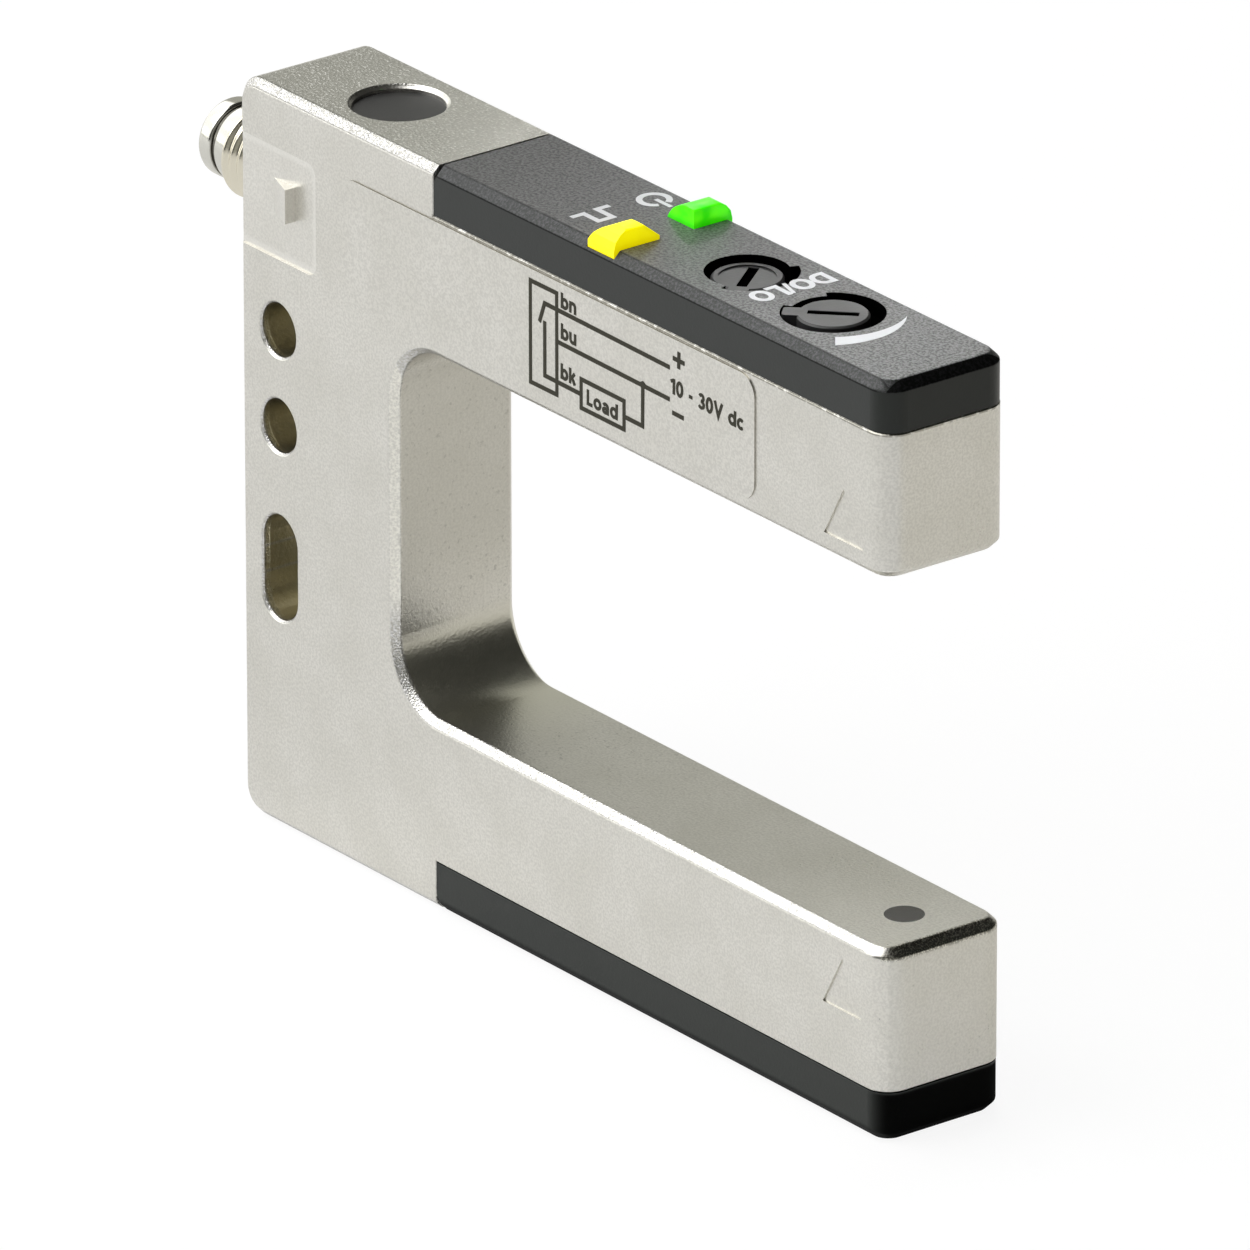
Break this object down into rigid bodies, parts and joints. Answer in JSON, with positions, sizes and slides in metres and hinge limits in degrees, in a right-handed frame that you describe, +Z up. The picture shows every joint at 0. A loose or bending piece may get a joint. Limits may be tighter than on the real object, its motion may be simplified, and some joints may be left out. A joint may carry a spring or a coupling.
{
  "type": "fork sensor",
  "caption": "Photoelectric fork sensor: a flat U-shaped metal housing with dark arm covers, turnable adjusters, lit indicators and a small round threaded connector.",
  "frame": {"origin": "on the axis of the upper fixing hole, in the middle of the housing's thickness", "axes": "+X from the connector side towards the fork tips, +Y away from the marked side along the fixing holes, +Z up towards the side with the adjusters"},
  "size_m": [0.0893, 0.0125, 0.063],
  "materials": {
    "casting": "satin, fine grain",
    "cover_plastic": "fine grain",
    "rubber_seal": "matt",
    "selector_plastic": "satin",
    "adjuster_plastic": "satin",
    "inner_plastic": "satin",
    "yellow_pipe": "clear, tinted, lit",
    "green_pipe": "clear, tinted, lit",
    "led_white": "gloss",
    "circuit_board": "solder mask",
    "chip": "moulded",
    "small_parts": "ceramic",
    "window_glass": "polished",
    "diode_resin": "clear resin",
    "nickel": "bright nickel",
    "insert_plastic": "moulded",
    "gold": "gold flash",
    "plug_grey": "satin",
    "wire_skin": "smooth",
    "ribbon_film": "film",
    "marking_foil": "satin printed foil, dark cut edge",
    "white_print": "pad-printed ink",
    "dark_print": "pad-printed ink"
  },
  "bodies": {
    "sensor": {"housing": "casting", "marking_film": "marking_foil", "top_cover": "cover_plastic", "bottom_cover": "cover_plastic", "top_cover_seal": "rubber_seal", "bottom_cover_seal": "rubber_seal", "mode_switch": "inner_plastic", "sensitivity_trimmer": "inner_plastic", "output_light_pipe": "yellow_pipe", "power_light_pipe": "green_pipe", "output_led": "led_white", "power_led": "led_white", "upper_board": "circuit_board", "lower_board": "circuit_board", "controller_chip": "chip", "driver_chip": "chip", "upper_small_parts": "small_parts", "lower_small_parts": "small_parts", "receiver_holder": "inner_plastic", "emitter_holder": "inner_plastic", "receiver_diode": "diode_resin", "emitter_diode": "diode_resin", "receiver_window": "window_glass", "emitter_window": "window_glass", "connector_shell": "nickel", "connector_seal": "rubber_seal", "connector_insert": "insert_plastic", "connector_pins": "gold", "bore_plug": "plug_grey", "connector_wires": "wire_skin", "linking_ribbon": "ribbon_film"},
    "mode_selector": {"mode_selector_knob": "selector_plastic", "mode_shaft_seal": "rubber_seal", "mode_rotor": "inner_plastic"},
    "sensitivity_adjuster": {"sensitivity_knob": "adjuster_plastic", "sensitivity_shaft_seal": "rubber_seal", "sensitivity_rotor": "inner_plastic"}
  },
  "joints": [
    {"name": "mode_turn", "type": "hinge", "parent": "sensor", "child": "mode_selector", "pos_m": [0.0511, 0, 0.0186], "axis": [0, 0, 1], "range_deg": [0, 105]},
    {"name": "sensitivity_turn", "type": "hinge", "parent": "sensor", "child": "sensitivity_adjuster", "pos_m": [0.0615, 0, 0.0186], "axis": [0, 0, 1], "range_deg": [0, 270]}
  ]
}
